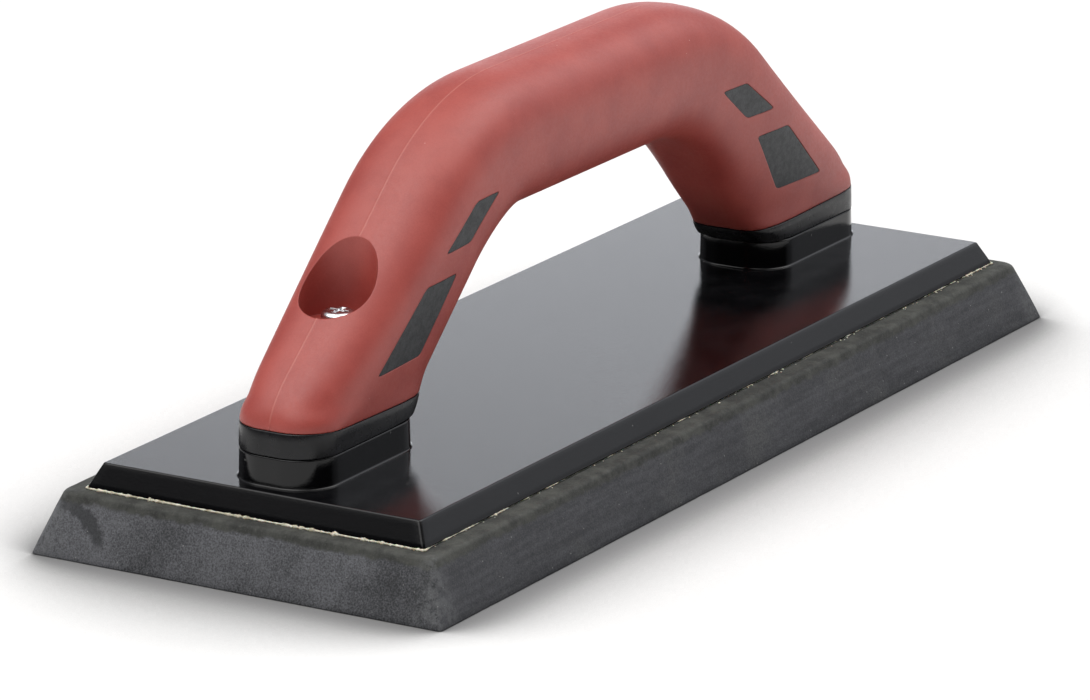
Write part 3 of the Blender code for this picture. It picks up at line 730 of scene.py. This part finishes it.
def even_ring(points):
    """Spaces a sampled section evenly along its length, with extra points beside the parting line."""
    closed = np.vstack([points, points[:1]])
    run = np.concatenate([[0.0], np.cumsum(np.linalg.norm(np.diff(closed, axis=0), axis=1))])
    total = run[-1]
    near = list(SEAM_STOPS)
    far = [total - s for s in reversed(SEAM_STOPS[1:])]
    between = RING_POINTS - len(near) - len(far)
    first, last = near[-1], far[0]
    middle = [mix(first, last, (i + 1) / (between + 1)) for i in range(between)]
    stops = np.array(near + middle + far)
    return np.stack([np.interp(stops, run, closed[:, k]) for k in range(3)], axis=1)


def handle_half(foot_z, inset):
    return [even_ring(section(station, inset)) for station in handle_stations(foot_z)]


def mirrored(rings):
    """The same rings on the -X side, foot last, wound the same way."""
    return [ring * np.array([-1.0, 1.0, 1.0]) for ring in reversed(rings)]


def raise_parting_line(rings):
    """A fine moulded line proud of the surface along the handle's outer centre."""
    heights = {0: SEAM_HEIGHTS[0], 1: SEAM_HEIGHTS[1], RING_POINTS - 1: SEAM_HEIGHTS[1]}
    for k, ring in enumerate(rings):
        before, after = rings[max(k - 1, 0)][0], rings[min(k + 1, len(rings) - 1)][0]
        run = after - before
        out = np.array([run[2], 0.0, -run[0]])
        out /= np.linalg.norm(out)
        if out[2] < 0 or (abs(out[2]) < 0.2 and out[0] * ring[0][0] < 0):
            out = -out
        for index, height in heights.items():
            ring[index] = ring[index] + out * height


def round_corners(corners, radius, steps=8):
    """Replaces each corner of a polygon by a short quadratic curve."""
    outline = []
    for i, (x, z) in enumerate(corners):
        ends = []
        for near_x, near_z in (corners[i - 1], corners[(i + 1) % len(corners)]):
            length = sqrt((near_x - x) ** 2 + (near_z - z) ** 2)
            ends.append((x + (near_x - x) * radius / length, z + (near_z - z) * radius / length))
        for step in range(steps + 1):
            t = step / steps
            outline.append(tuple((1 - t) ** 2 * a + 2 * t * (1 - t) * b + t * t * c
                                 for a, b, c in zip(ends[0], (x, z), ends[1])))
    return outline


def shrink(corners, distance):
    """Moves the sides of a convex clockwise polygon in by `distance`."""
    result = []
    for i, (x, z) in enumerate(corners):
        before, after = corners[i - 1], corners[(i + 1) % len(corners)]
        normals = []
        for (ax, az), (bx, bz) in ((before, (x, z)), ((x, z), after)):
            length = sqrt((bx - ax) ** 2 + (bz - az) ** 2)
            normals.append(((bz - az) / length, (ax - bx) / length))
        (nx, nz), (mx, mz) = normals
        scale = distance / (1 + nx * mx + nz * mz)
        result.append((x + (nx + mx) * scale, z + (nz + mz) * scale))
    return result


def window_prisms(material, inset, inner_y):
    """Prisms through both windows on both sides of both legs."""
    skin = Skin()
    for window in (LOWER_WINDOW, UPPER_WINDOW):
        outline = round_corners(shrink([(x * MM, z * MM) for x, z in window], inset), WINDOW_CORNER)
        for end in (1, -1):
            for side in (1, -1):
                rings = [[(end * x, side * y, z) for x, z in outline] for y in (inner_y, BEYOND_HANDLE)]
                if end * side < 0:
                    rings = [list(reversed(ring)) for ring in rings]
                skin.loft(rings)
    return recalculated(skin.make("windows", material))


def recalculated(item):
    bm = bmesh.new()
    bm.from_mesh(item.data)
    bmesh.ops.recalc_face_normals(bm, faces=bm.faces)
    bm.to_mesh(item.data)
    bm.free()
    return item


def foot_edge(station_z, inset):
    return even_ring(section(leg_station(station_z), inset))


def build_grip(material):
    """The soft layer's outside, with its parting line, windows and screw recesses."""
    bottom = COLLAR_TOP + SEAM_GAP
    lips = []
    for i in (4, 3, 2, 1):
        angle = pi / 2 * i / 4
        lips.append(foot_edge(bottom + GRIP_LIP * (1 - sin(angle)), GRIP_SKIN + GRIP_LIP * (1 - cos(angle))))
    half = lips + handle_half(bottom + GRIP_LIP, GRIP_SKIN)
    rings = half + mirrored(half[:-1])
    raise_parting_line(rings)
    skin = Skin()
    skin.loft([[tuple(p) for p in ring] for ring in rings])
    grip = recalculated(skin.make("grip_soft_overmold", material))
    cuts = Skin()
    for x in (SCREW_X, -SCREW_X):
        cuts.loft([circle(x, r, z, 128) for r, z in ((WASHER_WINDOW_RADIUS, SEAT_Z),
                                                     (WASHER_WINDOW_RADIUS, RECESS_FLOOR),
                                                     (RECESS_RADIUS, RECESS_FLOOR),
                                                     (RECESS_RADIUS, ABOVE_HANDLE))])
    boolean(grip, 'DIFFERENCE', recalculated(cuts.make("recesses", material)))
    boolean(grip, 'DIFFERENCE', window_prisms(material, 0.0, WINDOW_INNER_Y))
    shade(grip.data, SHARP_AFTER_CUTS)
    return place(grip, "red_elastomer", "grip_overmold")


def build_inlays(material):
    """The core's eight flush inlays, each just under the grip's surface."""
    skin = Skin()
    half = handle_half(COLLAR_TOP, GRIP_SKIN + INLAY_SINK)
    rings = half + mirrored(half[:-1])
    skin.loft([[tuple(p) for p in ring] for ring in rings])
    shape = recalculated(skin.make("inlay_surface", material))
    inlays = window_prisms(material, INLAY_GAP, INLAY_INNER_Y)
    inlays.name = "core_inlays"
    boolean(inlays, 'INTERSECT', shape)
    shade(inlays.data, SHARP_AFTER_CUTS)
    return place(inlays, "black_plastic", "handle_core")


def build_collars(material):
    """The hard core's collar at each foot, and the seat under each screw."""
    skin = Skin()
    levels = [(COLLAR_EDGE, COLLAR_BOTTOM)]
    for i in range(6):
        angle = pi / 2 * i / 5
        levels.append((COLLAR_EDGE * (1 - sin(angle)), COLLAR_BOTTOM + COLLAR_EDGE * (1 - cos(angle))))
    for share in (0.33, 0.66, 1.0):
        levels.append((0.0, mix(COLLAR_BOTTOM + COLLAR_EDGE, COLLAR_TOP - 0.2 * MM, share)))
    levels += [(0.06 * MM, COLLAR_TOP - 0.06 * MM), (0.2 * MM, COLLAR_TOP)]
    rings = [foot_edge(z, inset) for inset, z in levels]
    hub_low, hub_high = SEAT_Z - 2 * MM, SEAT_Z + 0.02 * MM
    for sign in (1, -1):
        skin.loft([[(sign * p[0], p[1], p[2]) for p in ring] for ring in rings])
        hub = [circle(sign * SCREW_X, r, z, 64) for r, z in
               ((HUB_RADIUS, hub_low), (HUB_RADIUS, hub_high),
                (SCREW_HOLE_RADIUS, hub_high), (SCREW_HOLE_RADIUS, hub_low))]
        skin.loft(hub, False, False)
    collars = recalculated(skin.make("core_collars", material, radians(50)))
    return place(collars, "black_plastic", "handle_core")


# ---------------------------------------------------------------- screws
def build_screw(name, x, material):
    """Pan head with a cross recess, over a short run of shank."""
    head_bottom = WASHER_HIGH.z + 0.02 * MM
    head_top = HEAD_HIGH.z
    radius = (HEAD_HIGH.x - HEAD_LOW.x) / 2 - HEAD_TRIM
    profile = [(1.9 * MM, HEAD_LOW.z), (SHANK_RADIUS, HEAD_LOW.z + 0.6 * MM), (SHANK_RADIUS, head_bottom),
               (radius - 0.15 * MM, head_bottom), (radius, head_bottom + 0.15 * MM)]
    for i in range(9):
        angle = pi / 2 * i / 8
        profile.append((radius - HEAD_RIM * (1 - cos(angle)),
                        head_top - HEAD_RIM * (1 - sin(angle)) - 0.05 * MM))
    profile.append((0.8 * MM, head_top))
    skin = Skin()
    skin.loft([circle(x, r, z, 72) for r, z in profile])
    screw = recalculated(skin.make(name, material))
    corners = ((1, 1), (-1, 1), (-1, -1), (1, -1))
    levels = ((0.5, -DRIVE_DEPTH), (1.0, 0.0), (1.0, 1.0 * MM))
    for half_x, half_y in ((DRIVE_HALF_LENGTH, DRIVE_HALF_WIDTH), (DRIVE_HALF_WIDTH, DRIVE_HALF_LENGTH)):
        arm = Skin()
        arm.loft([[(x + sx * half_x * share, sy * half_y * share, head_top + rise) for sx, sy in corners]
                  for share, rise in levels])
        boolean(screw, 'DIFFERENCE', recalculated(arm.make("arm", material)))
    shade(screw.data, radians(30))
    return place(screw, "zinc_steel", name.replace("_head", ""))


def build_washer(name, x, material, node):
    """External-tooth lock washer with twisted teeth."""
    outer_radius = (WASHER_HIGH.x - WASHER_LOW.x) / 2
    middle = (WASHER_LOW.z + WASHER_HIGH.z) / 2
    half = (WASHER_HIGH.z - WASHER_LOW.z) / 2 - 0.18 * MM
    outline = []
    for i in range(WASHER_TEETH * POINTS_PER_TOOTH):
        angle = 2 * pi * i / (WASHER_TEETH * POINTS_PER_TOOTH)
        k = i % POINTS_PER_TOOTH
        on_tooth = k in (1, 2, 3, 4)
        radius = outer_radius - 0.01 * MM if on_tooth else WASHER_BODY_RADIUS
        lift = TOOTH_TWIST * (k - 2.5) / 1.5 if on_tooth else 0.0
        outline.append((radius, angle, lift))
    outer = [[(x + r * cos(a), r * sin(a), middle + lift + level) for r, a, lift in outline]
             for level in (-half, half)]
    inner = [circle(x, SCREW_HOLE_RADIUS, middle + level, len(outline)) for level in (half, -half)]
    skin = Skin()
    skin.loft(outer + inner + [outer[0]], False, False)
    return place(recalculated(skin.make(name, material)), "zinc_steel", node)


# ---------------------------------------------------------------- light, floor, camera
CAMERA_AZIMUTH, CAMERA_ELEVATION, CAMERA_ROLL = radians(-59.07), radians(16.55), radians(-0.09)
CAMERA_SHIFT = (-3.64 * MM, 17.71 * MM)
CAMERA_DISTANCE = 1694.54 * MM
CAMERA_LENS = 252.21

# Soft lights as (degrees clockwise from straight behind the tool, seen from above; elevation; half angle;
# strength).
LOW_LIGHTS = ((0, 4, 20, 2.05), (45, 32, 30, 1.10), (315, 32, 30, 0.28), (270, 32, 30, 0.12),
              (72, 14, 24, 0.54))
HIGH_LIGHTS = ((0, 60, 34, 0.40), (72, 60, 34, 2.60), (258, 62, 38, 2.50), (205, 58, 34, 1.50))
LOW_TINT, HIGH_TINT = (0.955, 0.98, 1.04, 1.0), (1.01, 1.0, 0.985, 1.0)
ROOM_FILL = 0.012
FLOOR_HALF = 6.0


def build_world():
    """Dim room with soft lights: cool low ones behind and beside the tool, warm high ones all round."""
    world = bpy.data.worlds.new("studio")
    world.use_nodes = True
    bpy.context.scene.world = world
    n = Nodes(world.node_tree)
    low = world.node_tree.nodes["Background"]
    high = n.add("ShaderNodeBackground")
    way = n.add("ShaderNodeTexCoord").outputs["Generated"]
    away = Vector((-sin(CAMERA_AZIMUTH), cos(CAMERA_AZIMUTH), 0))
    right = Vector((cos(CAMERA_AZIMUTH), sin(CAMERA_AZIMUTH), 0))
    for background, lights, tint in ((low, LOW_LIGHTS, LOW_TINT), (high, HIGH_LIGHTS, HIGH_TINT)):
        level = ROOM_FILL
        for around, rise, spread, strength in lights:
            around, rise = radians(around), radians(rise)
            middle = (away * cos(around) + right * sin(around)) * cos(rise) + Vector((0, 0, sin(rise)))
            facing = n.add("ShaderNodeVectorMath", {0: way, 1: middle},
                           operation='DOT_PRODUCT').outputs["Value"]
            glow = n.remap(facing, cos(radians(spread)), cos(radians(spread / 4)), 0.0, strength)
            level = n.math('ADD', glow, level)
        n.set(background.inputs["Color"], tint)
        n.set(background.inputs["Strength"], level)
    both = n.add("ShaderNodeAddShader", {0: low.outputs[0], 1: high.outputs[0]})
    n.set(world.node_tree.nodes["World Output"].inputs["Surface"], both.outputs[0])


def build_floor(material):
    corners = [(-FLOOR_HALF, -FLOOR_HALF, 0), (FLOOR_HALF, -FLOOR_HALF, 0),
               (FLOOR_HALF, FLOOR_HALF, 0), (-FLOOR_HALF, FLOOR_HALF, 0)]
    make_mesh("studio_floor", corners, [(0, 1, 2, 3)], material)


def build_camera():
    a, e, r = CAMERA_AZIMUTH, CAMERA_ELEVATION, CAMERA_ROLL
    back = Vector((sin(a) * cos(e), -cos(a) * cos(e), sin(e)))
    right = Vector((0, 0, 1)).cross(back).normalized()
    up = back.cross(right)
    right, up = cos(r) * right + sin(r) * up, cos(r) * up - sin(r) * right
    camera = bpy.data.objects.new("camera", bpy.data.cameras.new("camera"))
    bpy.context.scene.collection.objects.link(camera)
    turn = Matrix((right, up, back)).transposed()
    camera.matrix_world = Matrix.Translation(
        CAMERA_SHIFT[0] * right + CAMERA_SHIFT[1] * up + CAMERA_DISTANCE * back) @ turn.to_4x4()
    camera.data.sensor_fit = 'HORIZONTAL'
    camera.data.sensor_width = 36
    camera.data.lens = CAMERA_LENS
    camera.data.clip_start, camera.data.clip_end = 0.05, 30
    bpy.context.scene.camera = camera


# ---------------------------------------------------------------- build
zinc = zinc_material()
build_pad(rubber_material())
build_adhesive(adhesive_material())
build_plate(enamel_material())
build_collars(collar_material())
build_inlays(inlay_material())
build_grip(elastomer_material())
for end, at in (("front", -SCREW_X), ("rear", SCREW_X)):
    build_screw(f"{end}_screw_head", at, zinc)
    build_washer(f"{end}_toothed_washer", at, zinc, f"{end}_lock_washer")
build_floor(floor_material())
build_world()
build_camera()
bpy.context.scene.view_settings.view_transform = 'Standard'
